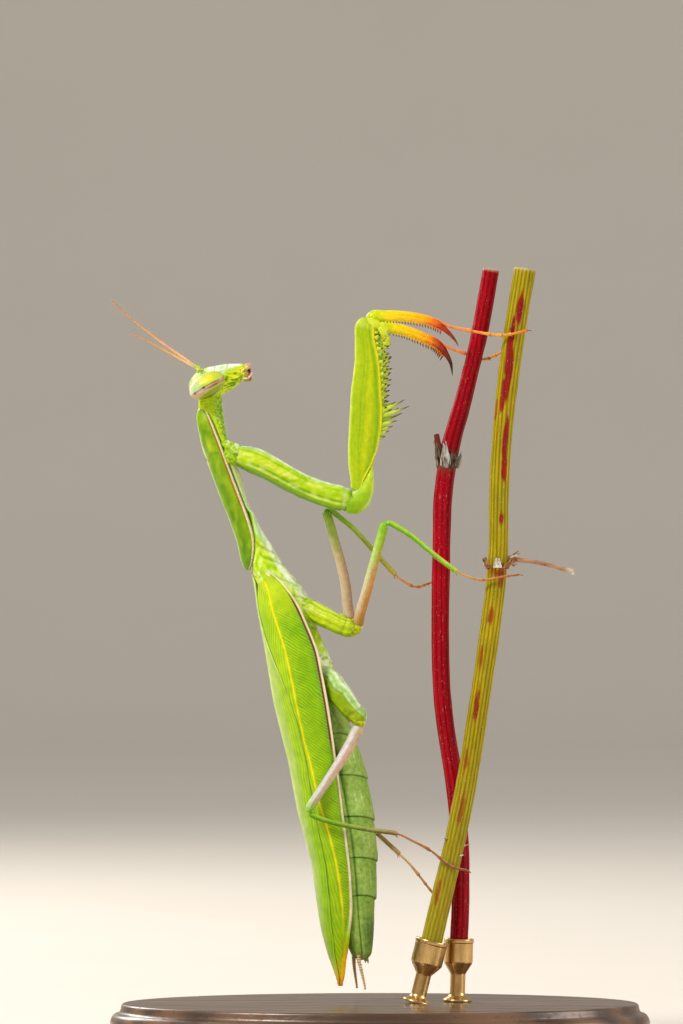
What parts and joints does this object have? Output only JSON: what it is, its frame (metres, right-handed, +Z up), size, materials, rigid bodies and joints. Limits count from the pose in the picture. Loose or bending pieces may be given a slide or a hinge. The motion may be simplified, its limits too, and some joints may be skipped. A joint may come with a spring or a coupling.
{
  "type": "praying mantis figure",
  "caption": "Still, life-size praying mantis climbing cut plant stems, held upright by brass rods on a flat oval wooden display base",
  "frame": {"origin": "the middle of the display base's flat underside", "axes": "+Z up, along the animal from wing tip to head; the belly and the stems are towards +X, the animal's right side is towards -Y"},
  "size_m": [0.06, 0.042, 0.0867],
  "materials": {
    "green_cuticle": "waxy yellow-green insect cuticle",
    "abdomen_cuticle": "dusty green insect cuticle",
    "forewing": "leathery veined forewing",
    "eye": "smooth compound eye with fine facets",
    "mouthpart": "satin cuticle",
    "feeler": "satin ringed cuticle",
    "walking_femur": "satin pinkish beige cuticle",
    "raptorial_tibia": "glossy orange cuticle with dark tipped spines",
    "foot": "satin jointed cuticle",
    "green_stem": "ridged dry plant stem with red blotches",
    "red_stem": "ridged crimson plant stem",
    "dry_twig": "dry weathered twig",
    "stand_wood": "oiled walnut",
    "stand_brass": "satin"
  },
  "bodies": {
    "root": {"abdomen": "abdomen_cuticle", "antenna_left": "feeler", "antenna_right": "feeler", "cercus_left": "feeler", "cercus_right": "feeler", "eye_left": "eye", "eye_right": "eye", "fore_left_coxa": "green_cuticle", "fore_left_femur": "green_cuticle", "fore_left_tarsus": "foot", "fore_left_tibia": "raptorial_tibia", "fore_right_coxa": "green_cuticle", "fore_right_femur": "green_cuticle", "fore_right_tarsus": "foot", "fore_right_tibia": "raptorial_tibia", "head": "green_cuticle", "hind_left_coxa": "green_cuticle", "hind_left_femur": "walking_femur", "hind_left_tarsus": "foot", "hind_left_tibia": "green_cuticle", "hind_right_coxa": "green_cuticle", "hind_right_femur": "walking_femur", "hind_right_tarsus": "foot", "hind_right_tibia": "green_cuticle", "mid_left_coxa": "green_cuticle", "mid_left_femur": "walking_femur", "mid_left_tarsus": "foot", "mid_left_tibia": "green_cuticle", "mid_right_coxa": "green_cuticle", "mid_right_femur": "walking_femur", "mid_right_tarsus": "foot", "mid_right_tibia": "green_cuticle", "mouthparts": "mouthpart", "neck": "green_cuticle", "perch_stem_green": "green_stem", "perch_stem_red": "red_stem", "perch_twig": "dry_twig", "pronotum": "green_cuticle", "prothorax": "green_cuticle", "stand_base": "stand_wood", "stand_rod_1": "stand_brass", "stand_rod_2": "stand_brass", "tegmen_left": "forewing", "tegmen_right": "forewing", "thorax": "green_cuticle"}
  },
  "joints": []
}
